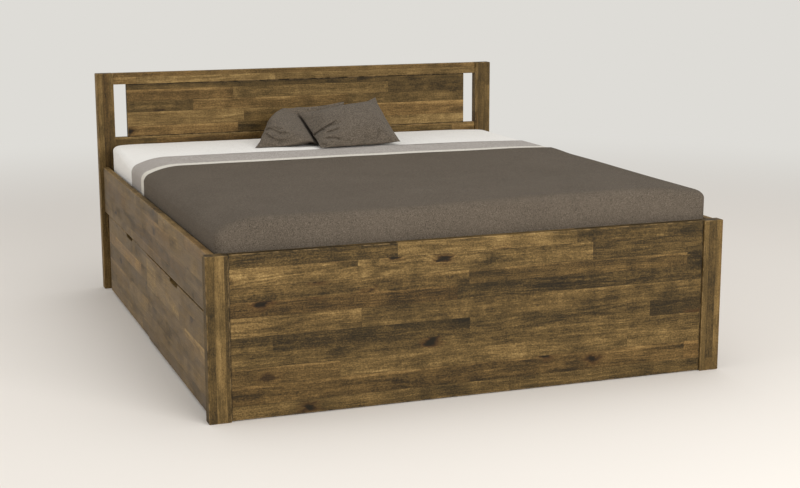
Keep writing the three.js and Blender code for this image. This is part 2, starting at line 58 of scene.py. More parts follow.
class Nodes:
    """A node tree, with short calls that add nodes and join them."""

    def __init__(self, tree):
        self.tree = tree

    def put(self, socket, value):
        if isinstance(value, bpy.types.NodeSocket):
            self.tree.links.new(value, socket)
        else:
            socket.default_value = value

    def node(self, kind, inputs=(), **settings):
        made = self.tree.nodes.new("ShaderNode" + kind)
        for name, value in settings.items():
            setattr(made, name, value)
        for name, value in dict(inputs).items():
            self.put(made.inputs[name], value)
        return made

    def math(self, operation, *values):
        made = self.node("Math", operation=operation)
        for index, value in enumerate(values):
            self.put(made.inputs[index], value)
        return made.outputs[0]

    def add(self, a, b):
        return self.math("ADD", a, b)

    def sub(self, a, b):
        return self.math("SUBTRACT", a, b)

    def mul(self, a, b):
        return self.math("MULTIPLY", a, b)

    def smooth(self, value, low, high, to_low=0.0, to_high=1.0):
        made = self.node("MapRange", interpolation_type="SMOOTHSTEP")
        for index, item in enumerate((value, low, high, to_low, to_high)):
            self.put(made.inputs[index], item)
        return made.outputs[0]

    def vector(self, x, y, z):
        return self.node("CombineXYZ", {"X": x, "Y": y, "Z": z}).outputs[0]

    def split(self, vector):
        return self.node("SeparateXYZ", {"Vector": vector}).outputs[:]

    def channels(self, colour):
        return self.node("SeparateColor", {"Color": colour}).outputs[:3]

    def total(self, value, *parts):
        """A value with parts added to it, each given with its weight."""
        for part, weight in parts:
            value = self.add(value, self.mul(part, weight))
        return value

    def vary(self, value, *noises):
        """A value varied by noises about 0.5, each given with its weight."""
        return self.total(value, *((self.sub(noise, 0.5), weight) for noise, weight in noises))

    def stretched(self, axes, counts):
        """A place with so many features a metre along each axis."""
        return self.vector(*(self.mul(axis, count) for axis, count in zip(axes, counts)))

    def noise(self, vector, scale=1.0, detail=3.0, roughness=0.5, distortion=0.0):
        inputs = {"Vector": vector, "Scale": scale, "Detail": detail,
                  "Roughness": roughness, "Distortion": distortion}
        return self.node("TexNoise", inputs).outputs["Fac"]

    def white(self, vector):
        return self.channels(self.node("TexWhiteNoise", {"Vector": vector}).outputs["Color"])

    def mix(self, share, a, b, blend_type="MIX"):
        made = self.node("Mix", data_type="RGBA", blend_type=blend_type)
        self.put(made.inputs[0], share)
        self.put(made.inputs[6], a)
        self.put(made.inputs[7], b)
        return made.outputs[2]

    def ramp(self, share, colours):
        """A run through evenly spaced colours."""
        made = self.node("ValToRGB", {"Fac": share})
        elements = made.color_ramp.elements
        while len(elements) < len(colours):
            elements.new(1.0)
        for i, colour in enumerate(colours):
            elements[i].position = i / (len(colours) - 1)
            elements[i].color = srgb(*colour)
        return made.outputs[0]

    def seen(self):
        """1 on what the camera sees, directly, mirrored or through glass."""
        paths = self.node("LightPath").outputs
        mirrored = self.math("MAXIMUM", paths["Is Glossy Ray"], paths["Is Transmission Ray"])
        return self.math("MAXIMUM", paths["Is Camera Ray"], mirrored)


class Finish(Nodes):
    """A material and its shader."""

    def __init__(self, name):
        self.material = bpy.data.materials.new(name)
        self.material.use_nodes = True
        super().__init__(self.material.node_tree)
        self.shader = self.tree.nodes["Principled BSDF"]

    def place(self):
        return self.node("TexCoord").outputs["Object"]

    def normal(self):
        return self.node("TexCoord").outputs["Normal"]

    def bump(self, height, depth, strength):
        made = self.node("Bump", {"Height": height, "Distance": depth, "Strength": strength})
        self.put(self.shader.inputs["Normal"], made.outputs[0])

    def surface(self, colour, roughness, **sockets):
        self.put(self.shader.inputs["Base Color"], colour)
        self.put(self.shader.inputs["Roughness"], roughness)
        for name, value in sockets.items():
            self.shader.inputs[name.replace("_", " ")].default_value = value
        return self.material


def srgb(red, green, blue):
    """A colour given in eight-bit display values, as linear light."""
    def linear(value):
        share = value / 255
        return share / 12.92 if share <= 0.04045 else ((share + 0.055) / 1.055) ** 2.4
    return (linear(red), linear(green), linear(blue), 1.0)


# Wood

RUSTIC = ((27, 21, 10), (55, 43, 22), (90, 71, 38), (126, 101, 60), (168, 140, 88))
PALE_PINE = ((138, 111, 75), (182, 156, 115), (208, 186, 147))


@dataclass
class Timber:
    """How one kind of board looks: its strips, its tones and how strongly it is figured."""
    strip: float
    block: float
    tones: tuple = RUSTIC
    tone: float = 0.5
    contrast: float = 1.0
    stain: float = 1.0
    veil: float = 0.0
    clear: float = 0.9
    oiled: bool = True


PANEL = Timber(strip=0.056, block=1.05, tone=0.39, contrast=1.1, clear=0.84)
HEADBOARD = Timber(strip=0.056, block=1.05, tone=0.59, contrast=0.95, clear=0.95)
POST = Timber(strip=0.034, block=0.90, tone=0.50, contrast=0.75, clear=0.95)
SIDE = Timber(strip=0.056, block=0.70, tone=0.63, contrast=0.74, stain=1.2, veil=1.0)
PALE = Timber(strip=0.045, block=0.80, tones=PALE_PINE, contrast=0.6, stain=0.12, oiled=False)

AXES = {"x": 0, "y": 1, "z": 2}
STRIP_DRIFT = 0.006
GRAIN_SWAY = 0.034
KNOT_PUSH = 0.020
SIDE_LINE = (0.0002, 0.0013)
END_LINE = (0.0002, 0.0012)
JOINT_OIL_AND_SHADE = (0.0016, 0.0060)
WORN_AND_HIGHLIT_EDGE = (0.0008, 0.0045)
WOOD_RELIEF = 0.0009
KNOTS_ALONG = 5.6
KNOTS_ACROSS = 10.0
# Dark oil for the glue lines and joints, also used as painted shade where boards meet
DARK_OIL_AND_SHADE = srgb(24, 18, 10)
WARM_FILTER = srgb(255, 214, 176)
COLD_STAIN = srgb(41, 36, 23)
SOAKED = srgb(46, 36, 22)
RUST = srgb(86, 57, 27)
DUST = srgb(112, 100, 86)
WORN_AND_HIGHLIT = srgb(160, 132, 90)


class Grain:
    """Where a place lies in its board: along the grain, across the strips and through the
    board, with the glued strip that it belongs to and the block of that strip."""

    def __init__(self, f, timber, place, grain, stack, seed):
        self.f = f
        axes = f.split(place)
        self.along = axes[AXES[grain]]
        self.across = axes[AXES[stack]]
        self.through = axes[3 - AXES[grain] - AXES[stack]]

        # Strips of slightly unequal width
        drift = f.mul(f.math("SINE", f.add(f.mul(self.across, 31.0), seed)), STRIP_DRIFT)
        strip_place = f.math("DIVIDE", f.add(self.across, drift), timber.strip)
        row = f.math("FLOOR", strip_place)
        self.in_row = f.math("FRACT", strip_place)
        self.row_tone, row_length, row_start = f.white(f.vector(row, seed, 0.37))
        nearer = f.math("MINIMUM", self.in_row, f.sub(1.0, self.in_row))
        self.from_side = f.mul(nearer, timber.strip)

        # Blocks of unequal length along each strip
        length = f.smooth(row_length, 0.0, 1.0, timber.block * 0.6, timber.block * 1.5)
        block_place = f.math("DIVIDE", f.add(self.along, f.mul(row_start, 7.3)), length)
        block = f.math("FLOOR", block_place)
        in_block = f.mul(f.math("FRACT", block_place), length)
        self.from_end = f.math("MINIMUM", in_block, f.sub(length, in_block))
        self.tone, self.hue, shift = f.white(f.vector(row, block, seed + 0.71))

        # Every block is cut from another place in the tree
        self.own_along = f.add(self.along, f.mul(shift, 37.0))
        bends = f.stretched((self.own_along, self.across, self.through), (2.6, 9.0, 1.0))
        bent = f.vary(self.across, (f.noise(bends, detail=2.0), GRAIN_SWAY))
        self.own_across = f.add(bent, f.mul(self.tone, 11.0))
        self.own_through = f.add(self.through, f.mul(self.hue, 5.0))

    def own(self, along, across, **settings):
        """Noise that ends at the block, with so many features a metre along and across."""
        return self.noise((self.own_along, self.own_across, self.own_through), along, across, settings)

    def whole(self, along, across, **settings):
        """Noise that runs on over the whole board."""
        return self.noise((self.along, self.across, self.through), along, across, settings)

    def noise(self, axes, along, across, settings):
        place = self.f.stretched(axes, (along, across, across))
        return self.f.noise(place, **{"roughness": 0.55, **settings})


class Knots:
    """Knots in a few of the blocks: their dark hearts, their rusty rims, and how far they
    push the grain aside."""

    def __init__(self, f, timber, grain):
        ragged = f.vary(0.0, (grain.own(30.0, 60.0), 0.35))
        place = f.vector(f.add(f.mul(grain.own_along, KNOTS_ALONG), ragged),
                         f.add(f.mul(grain.own_across, KNOTS_ACROSS), ragged), 0.0)
        cells = f.node("TexVoronoi", {"Vector": place, "Scale": 1.0}, voronoi_dimensions="2D")
        chance = f.channels(cells.outputs["Color"])[0]
        chosen = f.smooth(chance, timber.clear, timber.clear + 0.04)
        distance = cells.outputs["Distance"]
        self.pull, self.heart, around = (
            f.smooth(distance, near, far, chosen, 0.0)
            for near, far in ((0.0, 0.50), (0.06, 0.20), (0.14, 0.34))
        )
        self.rim = f.mul(around, f.sub(1.0, self.heart))


def flames(f, grain, knots):
    """Long flames where the growth rings come to the face, in some blocks only."""
    pushed = f.total(grain.own_across, (knots.pull, KNOT_PUSH))
    place = f.stretched((grain.own_along, pushed, grain.own_through), (1.4, 14.0, 14.0))
    field = f.noise(place, detail=1.5, roughness=0.4, distortion=0.2)
    rings = f.math("SINE", f.mul(field, 58.0))
    return f.mul(rings, f.smooth(grain.own(1.2, 8.0), 0.40, 0.68))


def wood_tone(f, timber, grain, knots, streaks, fibres, stain):
    """How light the wood is, from 0 to 1, before the glue lines and the wear."""
    k = timber.contrast
    sand = grain.own(150.0, 200.0, detail=2.0, roughness=0.8)
    broad = grain.own(2.0, 34.0, detail=2.0, roughness=0.5)
    figure = grain.own(17.0, 8.0, detail=2.0, roughness=0.5)
    smudge = f.smooth(grain.own(13.0, 26.0, roughness=0.6), 0.56, 0.74)
    sapwood = f.smooth(f.vary(grain.in_row, (broad, 0.35)), 0.80, 0.90)
    sapwood = f.mul(sapwood, f.smooth(grain.hue, 0.66, 0.78))
    value = f.vary(timber.tone, (grain.tone, 0.36 * k), (grain.row_tone, 0.17 * k), (broad, 0.54 * k),
                   (streaks, 0.46 * k), (sand, 0.80 * k), (fibres, 0.66 * k), (figure, 0.38 * k))
    value = f.total(value, (smudge, -0.11 * timber.stain), (stain, -0.09 * timber.stain))
    value = f.total(value, (sapwood, 0.15 * k), (knots.heart, -0.62 * k))
    return f.total(value, (flames(f, grain, knots), 0.085 * k))


def depths(f, node, place):
    """How deep a place lies in its board along each axis: 0 on the faces."""
    made = []
    for axis, least, most in zip(f.split(place), *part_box(node)):
        from_middle = f.math("ABSOLUTE", f.sub(axis, (least + most) / 2))
        made.append(f.sub((most - least) / 2, from_middle))
    return made


def tinted(f, timber, grain, knots, stain, value, colour):
    """Some blocks are redder, knots have a rusty rim, and the clouds are a cold grey."""
    colour = f.mix(f.smooth(grain.hue, 0.60, 1.0, 0.0, 0.225), colour, WARM_FILTER, "MULTIPLY")
    colour = f.mix(f.mul(knots.rim, f.smooth(value, 0.1, 0.5, 0.6, 0.25)), colour, RUST)
    return f.mix(f.mul(stain, min(0.5, 0.25 * timber.stain)), colour, COLD_STAIN)


def dusty_bloom(f, timber, grain, colour):
    """A dry, dusty veil on the outer faces of the side boards."""
    outward = f.smooth(f.math("ABSOLUTE", f.split(f.normal())[0]), 0.6, 0.9)
    patches = f.smooth(grain.whole(5.0, 13.0), 0.35, 0.62, 0.45, 1.0)
    return f.mix(f.mul(f.mul(outward, patches), 0.5 * timber.veil), colour, DUST)


def soaked_ends(f, grain, grain_axis, colour):
    """End grain soaks up more oil, and shows the growth rings."""
    facing = f.split(f.normal())[AXES[grain_axis]]
    end_face = f.smooth(f.math("ABSOLUTE", facing), 0.75, 0.95)
    squares = f.mul(f.math("POWER", grain.own_across, 2.0), 2.0)
    rings = f.math("SINE", f.mul(f.add(grain.own_through, squares), 900.0))
    soaked = f.mul(end_face, f.smooth(rings, -1.0, 1.0, 0.68, 0.42))
    return f.mix(soaked, colour, SOAKED)


def worn_and_highlit_edges(f, deep, place, colour):
    """The middle one of the three depths is 0 on the board's edges, and only there."""
    smaller = f.math("MINIMUM", deep[0], deep[1])
    larger = f.math("MAXIMUM", deep[0], deep[1])
    from_edge = f.math("MAXIMUM", smaller, f.math("MINIMUM", larger, deep[2]))
    ragged = f.smooth(f.noise(place, scale=38.0, roughness=0.6), 0.40, 0.64)
    # Lighter along the board's edges: partly worn wood, partly a painted highlight where the edges catch
    # the light
    return f.mix(f.mul(f.smooth(from_edge, *WORN_AND_HIGHLIT_EDGE, 0.45, 0.0), ragged), colour, WORN_AND_HIGHLIT)


def wood(seed, node, timber, grain_axis, stack_axis, joints=None):
    """Solid wood glued up from strips. The grain runs along one axis, and the strips lie
    side by side along another, each cut into blocks that meet end to end."""
    f = Finish(f"wood_{node}")
    place = f.place()
    grain = Grain(f, timber, place, grain_axis, stack_axis, seed)
    knots = Knots(f, timber, grain)
    streaks = grain.own(7.0, 230.0, roughness=0.65)
    fibres = grain.own(20.0, 560.0, roughness=0.65)
    pores = f.smooth(grain.own(45.0, 820.0, detail=1.0), 0.60, 0.70)
    clouds = f.total(0.0, (grain.whole(4.2, 11.0), 0.55), (grain.own(6.5, 22.0, detail=2.0), 0.45))
    stain = f.smooth(clouds, 0.50, 0.66)

    value = wood_tone(f, timber, grain, knots, streaks, fibres, stain)
    value = f.total(value, (pores, -0.07 * timber.contrast))
    colour = f.ramp(value, timber.tones)

    # Glue lines along the strips and across the ends of the blocks
    side_line = f.smooth(grain.from_side, *SIDE_LINE, 0.28, 0.0)
    end_line = f.smooth(grain.from_end, *END_LINE, 0.32, 0.0)
    glue = f.math("MAXIMUM", side_line, end_line)

    if timber.oiled:
        colour = tinted(f, timber, grain, knots, stain, value, colour)
        if timber.veil:
            colour = dusty_bloom(f, timber, grain, colour)
        colour = f.mix(glue, colour, DARK_OIL_AND_SHADE)
        colour = soaked_ends(f, grain, grain_axis, colour)
        deep = depths(f, node, place)
        # Dark oil stays in the joints with the boards beside this one, and painted shade darkens this
        # board where it meets them
        if joints:
            colour = f.mix(f.smooth(deep[AXES[joints]], *JOINT_OIL_AND_SHADE, 0.92, 0.0), colour, DARK_OIL_AND_SHADE)
        colour = worn_and_highlit_edges(f, deep, place, colour)

    relief = f.total(0.0, (fibres, 0.45), (streaks, 0.5), (pores, -0.35), (glue, -0.8),
                     (knots.heart, -0.5))
    f.bump(relief, WOOD_RELIEF, 0.55)
    roughness = f.total(0.52, (streaks, 0.22), (stain, 0.06))
    return f.surface(colour, roughness, Specular_IOR_Level=0.16)


# Fabric, metal and plastic

SHADE_BETWEEN_YARNS = srgb(200, 200, 200)
YARN_WANDER = 1.6
SLUBS_ALONG = 40.0
SLUBS_ACROSS = 500.0


def weave_height(f, place, pitch):
    """Two crossing sets of yarns that look alike on faces square to any axis, and that
    wander a little."""
    turns = math.tau / pitch
    wander = f.node("TexNoise", {"Vector": place, "Scale": 45.0, "Detail": 1.0}).outputs["Color"]
    reach = (YARN_WANDER * pitch,) * 3
    moved = f.node("VectorMath", {0: wander, 1: reach, 2: place}, operation="MULTIPLY_ADD")
    x, y, z = (f.math("SINE", f.mul(axis, turns)) for axis in f.split(moved.outputs[0]))
    return f.mul(f.add(f.mul(x, y), f.add(f.mul(y, z), f.mul(z, x))), 1 / 3)


def cloth(name, light, dark, pitch, relief, fleck=420.0, grit=0.0, streak=0.0, fuzz=0.0):
    """A woven cloth: flecks of two yarns, coarser grit, the weave's relief and a slow change
    of tone."""
    f = Finish(name)
    place = f.place()
    flecks = f.noise(place, scale=fleck, detail=2.0, roughness=0.7)
    slow = f.noise(place, scale=5.5, roughness=0.55)
    weave = weave_height(f, place, pitch)
    share = f.total(0.0, (f.smooth(flecks, 0.30, 0.70), 0.75), (slow, 0.25))
    if grit:
        share = f.vary(share, (f.noise(place, scale=250.0, detail=1.0, roughness=0.6), grit))
    if streak:
        for along, across in ((SLUBS_ALONG, SLUBS_ACROSS), (SLUBS_ACROSS, SLUBS_ALONG)):
            slubs = f.stretched(f.split(place), (along, across, SLUBS_ACROSS))
            share = f.vary(share, (f.noise(slubs, detail=2.0), streak))
    colour = f.mix(share, dark, light)
    # Painted shade darkens the cloth between the yarns, where the weave lies low
    colour = f.mix(f.smooth(weave, -0.5, 0.1, 0.45, 0.0), colour, SHADE_BETWEEN_YARNS, "MULTIPLY")
    f.bump(f.total(0.0, (weave, 0.7), (flecks, 0.6)), relief, 0.8)
    return f.surface(colour, 0.9, Sheen_Weight=fuzz, Sheen_Roughness=0.5, Specular_IOR_Level=0.12)


def zinc_steel():
    f = Finish("zinc_steel")
    place = f.place()
    spangle = f.node("TexVoronoi", {"Vector": place, "Scale": 190.0}).outputs["Color"]
    patch = f.channels(spangle)[0]
    x, y, z = f.split(place)
    scratches = f.noise(f.vector(f.mul(x, 30.0), f.mul(y, 700.0), 1.0), detail=2.0)
    shade = f.total(0.0, (patch, 0.6), (scratches, 0.4))
    colour = f.mix(shade, srgb(122, 124, 128), srgb(176, 178, 182))
    f.bump(f.total(scratches, (patch, 0.3)), 0.0002, 0.5)
    return f.surface(colour, f.total(0.30, (patch, 0.15)), Metallic=0.9)


def moulded_plastic():
    f = Finish("moulded_plastic")
    place = f.place()
    grain = f.noise(place, scale=900.0, detail=2.0)
    scuffs = f.smooth(f.noise(place, scale=70.0, detail=4.0, roughness=0.7), 0.52, 0.72)
    colour = f.mix(scuffs, srgb(38, 38, 41), srgb(62, 61, 60))
    f.bump(f.total(grain, (scuffs, 0.4)), 0.00015, 0.6)
    return f.surface(colour, f.total(0.42, (scuffs, 0.25)), Specular_IOR_Level=0.45)


# The boards keep their solids and get their finish

SEED_STEP = 1.37


def dress(node, material):
    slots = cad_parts[node].data.materials
    slots.clear()
    slots.append(material)


def dress_in_wood(boards, first_seed):
    """Each board has its node, its timber, the axes of its grain and of its strips, and for
    some the axis along which it is jointed."""
    for board, seed in zip(boards, itertools.count(first_seed, SEED_STEP)):
        dress(board[0], wood(seed, *board))


def dress_boards():
    boards = [(f"{end}_post_{side}", POST, "z", "x") for side in SIDES for end in ENDS]
    boards += [(node, PANEL, "x", "z", "x") for node in ("foot_panel", "head_end_board")]
    boards += [(f"headboard_{part}_rail", HEADBOARD, "x", "z") for part in ("top", "lower")]
    boards.append(("headboard_panel", HEADBOARD, "x", "z", "z"))
    for side in SIDES:
        fronts = [f"drawer_{end}_{side}_front" for end in ENDS]
        boards += [(node, SIDE, "y", "z") for node in [f"side_rail_{side}"] + fronts]
    dress_in_wood(boards, first_seed=1.0)


def dress_hidden_boards():
    lengthwise = [f"slat_ledge_{side}" for side in SIDES] + ["centre_beam"]
    crosswise = []
    for side, end in itertools.product(SIDES, ENDS):
        drawer = f"drawer_{end}_{side}"
        lengthwise += [f"{drawer}_back", f"{drawer}_bottom"]
        crosswise += [f"{drawer}_side_{near}" for near in ENDS]
    boards = [(node, PALE, "y", "z") for node in lengthwise]
    boards += [(node, PALE, "x", "z") for node in crosswise]
    boards.append(("centre_leg", PALE, "z", "x"))
    boards += [(f"slatted_base_{side}", PALE, "x", "y") for side in SIDES]
    dress_in_wood(boards, first_seed=51.0)


def dress_metal():
    steel = zinc_steel()
    for end in ENDS:
        dress(f"beam_hanger_{end}", steel)


# Objects

def add_object(name, data):
    made = bpy.data.objects.new(name, data)
    scene.collection.objects.link(made)
    return made


def add_shape(name, shape):
    bmesh.ops.recalc_face_normals(shape, faces=shape.faces)
    mesh = bpy.data.meshes.new(name)
    shape.to_mesh(mesh)
    shape.free()
    return add_object(name, mesh)


# Wheels

WHEEL_STEPS = 48
WHEEL_WIDTH = 0.018
WHEEL_BORE = 0.0043
WHEEL_HUB = 0.0085
WHEEL_WEB = 0.0045
RIM_DEPTH = 0.005
TREAD_ROUND = 0.0014
SHARPEST_SMOOTH = math.radians(30)


def lathe(name, profile):
    """A closed profile of radius and place along Y, turned about Y."""
    shape = bmesh.new()
    rings = []
    for step in range(WHEEL_STEPS):
        angle = math.tau * step / WHEEL_STEPS
        rings.append([shape.verts.new((r * math.cos(angle), y, r * math.sin(angle))) for r, y in profile])
    for here, there in zip(rings, rings[1:] + rings[:1]):
        for i in range(len(profile)):
            j = (i + 1) % len(profile)
            shape.faces.new((here[i], there[i], there[j], here[j]))
    return add_shape(name, shape)


def wheel_profile(radius):
    """The tread is drawn in at its edges, and the web is thinner than the hub and the rim."""
    half = WHEEL_WIDTH / 2
    rim = radius - RIM_DEPTH
    soft = TREAD_ROUND
    near_side = [
        (WHEEL_BORE, -half), (WHEEL_HUB, -half), (WHEEL_HUB, -WHEEL_WEB), (rim, -WHEEL_WEB), (rim, -half),
        (radius - soft, -half), (radius - soft * 0.35, -half + soft * 0.45), (radius, -half * 0.35),
    ]
    return near_side + [(r, -y) for r, y in reversed(near_side)]


def make_wheels():
    plastic = moulded_plastic()
    for side, end, near, place in itertools.product(SIDES, ENDS, ENDS, ("outer", "inner")):
        node = f"drawer_{end}_{side}_wheel_{near}_{place}"
        low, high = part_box(node)
        wheel = lathe(f"{node}_tyre", wheel_profile((high.z - low.z) / 2))
        wheel.location = (low + high) / 2
        wheel.data.materials.append(plastic)
        wheel.data.shade_smooth()
        wheel.data.set_sharp_from_angle(angle=SHARPEST_SMOOTH)
        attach(wheel, node)
        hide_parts(node)


# Bedding. The mattress form is a block with rounded edges that has settled at its sides

MATTRESS_LOW, MATTRESS_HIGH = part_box("mattress")
HALF_WIDTH = (MATTRESS_HIGH.x - MATTRESS_LOW.x) / 2
CORNER_RADIUS = 0.022
CORNER_EASE = 0.5
CORNER_STEPS = 8
EDGE_RADIUS = 0.020
EDGE_STEPS = 9
LOWER_EDGE_STEPS = 5
TOP_INSETS = (0.026, 0.034, 0.044, 0.056, 0.070, 0.086, 0.104, 0.124, 0.146, 0.170, 0.196)
INNER_STEP = 0.024
WALL_STEP = 0.011
POINT_SPACING = 0.012
MERGED = 0.0015
HEM_Z = 0.496
COVER_THICKNESS = 0.0035
BLANKET_THICKNESS = 0.0022
SHEET_THICKNESS = 0.0012
COVER_EDGE_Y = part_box("bedspread")[1].y
BAND_EDGE_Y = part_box("plaid_blanket")[1].y
BORDER_WIDTH = 0.080
TUCKED_UNDER = 0.06
CHECK_PITCH = 0.011
SETTLING_CURVE = 2.1
CROWN = 0.011
FOOT_BULGE = 0.0065
BULGE_FROM = 0.535
BULGE_RISE = 0.115
TUCK_PLACE = 0.855
TUCK_WIDTH = 0.008
TUCK_DEPTH = 0.0035


def ease(value, low, high):
    """From 0 at one place to 1 at the other, with a soft start and end."""
    share = np.clip((value - low) / (high - low), 0.0, 1.0)
    return share * share * (3 - 2 * share)


def rounded_outline(half_x, low_y, high_y, inset, counts):
    """Points round a rounded rectangle, anticlockwise, drawn in by an inset. The count of
    points on each side stays the same, so that rings can be joined."""
    side_x, side_y, corner = counts
    radius = min(CORNER_RADIUS + CORNER_EASE * inset, 0.8 * (half_x - inset))
    x = half_x - inset - radius
    low = low_y + inset + radius
    high = high_y - inset - radius
    corners = [(x, high), (-x, high), (-x, low), (x, low)]
    points = []
    for quarter, count in enumerate((side_x, side_y, side_x, side_y)):
        middle_x, middle_y = corners[quarter]
        for i in range(corner + 1):
            angle = (quarter + i / corner) * math.pi / 2
            points.append((middle_x + radius * math.cos(angle), middle_y + radius * math.sin(angle)))
        start = Vector(points[-1])
        turned = (quarter + 1) * math.pi / 2
        end = Vector(corners[(quarter + 1) % 4]) + radius * Vector((math.cos(turned), math.sin(turned)))
        points += [tuple(start.lerp(end, i / count)) for i in range(1, count)]
    return points


def drape_rings(grow, hem, top):
    """Rings over the mattress form from the hem up and in to the middle: for each, how far
    it is drawn in, and its height."""
    shoulder = top - EDGE_RADIUS
    steps = max(2, round((shoulder - hem) / WALL_STEP))
    rings = [(0.0, hem + (shoulder - hem) * i / steps) for i in range(steps)]
    for i in range(EDGE_STEPS + 1):
        angle = i / EDGE_STEPS * math.pi / 2
        rings.append((EDGE_RADIUS * (1 - math.cos(angle)), shoulder + EDGE_RADIUS * math.sin(angle)))
    rings += [(inset, top) for inset in TOP_INSETS]
    inset = TOP_INSETS[-1] + INNER_STEP
    while inset < HALF_WIDTH + grow - INNER_STEP / 2:
        rings.append((inset, top))
        inset += INNER_STEP
    return rings


def close_middle(shape, ring, counts):
    """Joins the two long sides of the innermost ring."""
    side_x, side_y, corner = counts
    total = len(ring)
    far_left = corner + side_x
    near_left = far_left + corner + side_y
    near_right = near_left + corner + side_x
    left = [far_left + corner + i for i in range(side_y + 1)]
    right = [(total - i) % total for i in range(side_y + 1)]
    for i in range(side_y):
        shape.faces.new([ring[k] for k in (left[i], left[i + 1], right[i + 1], right[i])])
    shape.faces.new(ring[:far_left + corner + 1])
    shape.faces.new(ring[near_left:near_right + corner + 1])


def settled(distance, reach, drop):
    return drop * max(0.0, 1 - max(0.0, distance) / reach) ** SETTLING_CURVE


def wave(height, *place):
    return height * noise.noise(Vector(place))


def top_shift(x, y):
    """How far the bed's top lies above or below its plain height at a place."""
    left = settled(x + HALF_WIDTH, reach=0.150, drop=0.036) * (1 - 0.9 * ease(y, 0.50, 0.95))
    right = settled(HALF_WIDTH - x, reach=0.35, drop=0.012 - 0.006 * ease(y, 0.0, 0.2))
    foot = settled(y - MATTRESS_LOW.y, reach=0.05, drop=0.004)
    crown = CROWN * ease(x, -0.35, 0.25) * (1 - ease(x, 0.66, 0.88))
    crown *= 1 - ease(y, -0.90, -0.40)
    waves = wave(0.0028, x * 1.7, y * 1.5, 4.2) + wave(0.0011, x * 5.0, y * 4.3, 9.1)
    return crown + waves - left - right - foot


def foot_shift(x, z):
    """How far the foot face stands out above the panel, with a tuck at each corner."""
    rise = min(1.0, max(0.0, (z - BULGE_FROM) / BULGE_RISE))
    tuck = math.exp(-((abs(x) - TUCK_PLACE) / TUCK_WIDTH) ** 2)
    tuck *= ease(z, 0.50, 0.53) * (1 - ease(z, 0.59, 0.62))
    ripple = wave(0.0016, x * 6.5, 2.7, z * 9.0)
    return FOOT_BULGE * math.sin(math.pi * rise) + ripple - TUCK_DEPTH * tuck


def side_shift(y, z):
    """Slow waves in the cloth that hangs at the bed's sides."""
    return wave(0.0022, 5.1, y * 3.0, z * 5.0) + wave(0.0009, 8.3, y * 9.0, z * 12.0)


def drape_mesh(name, grow, hem, height, cut_low=None, cut_high=None, bottom=None):
    """A skin over the mattress form, cut across at one or two places along the bed, and open
    below unless it has a bottom."""
    half_x = HALF_WIDTH + grow
    low_y = MATTRESS_LOW.y - grow
    high_y = MATTRESS_HIGH.y + grow
    counts = (round(2 * half_x / POINT_SPACING), round((high_y - low_y) / POINT_SPACING), CORNER_STEPS)
    shape = bmesh.new()
    rings = []
    for inset, z in drape_rings(grow, hem, height):
        outline = rounded_outline(half_x, low_y, high_y, inset, counts)
        rings.append([shape.verts.new((x, y, z)) for x, y in outline])
    total = len(rings[0])
    for lower, upper in zip(rings, rings[1:]):
        for i in range(total):
            j = (i + 1) % total
            shape.faces.new((lower[i], lower[j], upper[j], upper[i]))
    close_middle(shape, rings[-1], counts)
    bmesh.ops.remove_doubles(shape, verts=shape.verts, dist=MERGED)

    shoulder = height - EDGE_RADIUS
    for vert in shape.verts:
        x, y, z = vert.co
        weight = ease(z, HEM_Z, shoulder)
        on_wall = 1 - ease(z, shoulder, height)
        vert.co.z += top_shift(x, y) * weight
        if y < low_y + CORNER_RADIUS:
            share = 1 - ease(y, low_y, low_y + CORNER_RADIUS)
            share *= 1 - ease(abs(x), half_x - 0.03, half_x)
            vert.co.y -= foot_shift(x, z) * share
        if abs(x) > half_x - CORNER_RADIUS:
            share = ease(abs(x), half_x - CORNER_RADIUS, half_x)
            vert.co.x += math.copysign(side_shift(y, z) * share * weight * on_wall, x)

    for place, side in ((cut_high, 1), (cut_low, -1)):
        if place is not None:
            whole = [*shape.verts, *shape.edges, *shape.faces]
            bmesh.ops.bisect_plane(shape, geom=whole, plane_co=(0, place, 0), plane_no=(0, side, 0),
                                   clear_outer=True)
    if bottom is not None:
        close_below(shape, bottom)
    return add_shape(name, shape)


def apply_modifiers(piece):
    graph = bpy.context.evaluated_depsgraph_get()
    made = bpy.data.meshes.new_from_object(piece.evaluated_get(graph))
    old = piece.data
    piece.modifiers.clear()
    piece.data = made
    bpy.data.meshes.remove(old)


def thicken(piece, thickness):
    """Gives a skin its thickness outwards, with square edges."""
    solid = piece.modifiers.new("thickness", "SOLIDIFY")
    solid.thickness = thickness
    solid.offset = 1.0
    solid.use_quality_normals = True
    apply_modifiers(piece)


def finish_piece(piece, material, slot, *nodes):
    piece.data.materials.append(material)
    piece.data.shade_smooth()
    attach(piece, FRAME_BODY)
    if nodes:
        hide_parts(*nodes)


def close_below(shape, z):
    """Closes the form below with a rounded lower edge and a flat underside."""
    ring = [edge for edge in shape.edges if edge.is_boundary]
    start = ring[0].verts[0].co.z
    radius = start - z
    last_inset = 0.0
    for step in range(1, LOWER_EDGE_STEPS + 1):
        angle = step / LOWER_EDGE_STEPS * math.pi / 2
        made = bmesh.ops.extrude_edge_only(shape, edges=ring)["geom"]
        ring = [item for item in made if isinstance(item, bmesh.types.BMEdge) and item.is_boundary]
        inset = radius * (1 - math.cos(angle))
        for vert in {vert for edge in ring for vert in edge.verts}:
            vert.co.z = start - radius * math.sin(angle)
            from_middle = Vector((vert.co.x, vert.co.y - (MATTRESS_LOW.y + MATTRESS_HIGH.y) / 2, 0))
            vert.co -= from_middle.normalized() * (inset - last_inset)
        last_inset = inset
    bmesh.ops.holes_fill(shape, edges=[edge for edge in shape.edges if edge.is_boundary], sides=0)


def make_mattress():
    ticking = drape_mesh("mattress_ticking", grow=-0.0040, hem=MATTRESS_LOW.z + 0.020,
                         height=MATTRESS_HIGH.z - 0.0040, bottom=MATTRESS_LOW.z)
    material = cloth("ticking", srgb(226, 222, 214), srgb(206, 201, 192), 0.004, 0.0004)
    finish_piece(ticking, material, "white_sheet", "mattress")


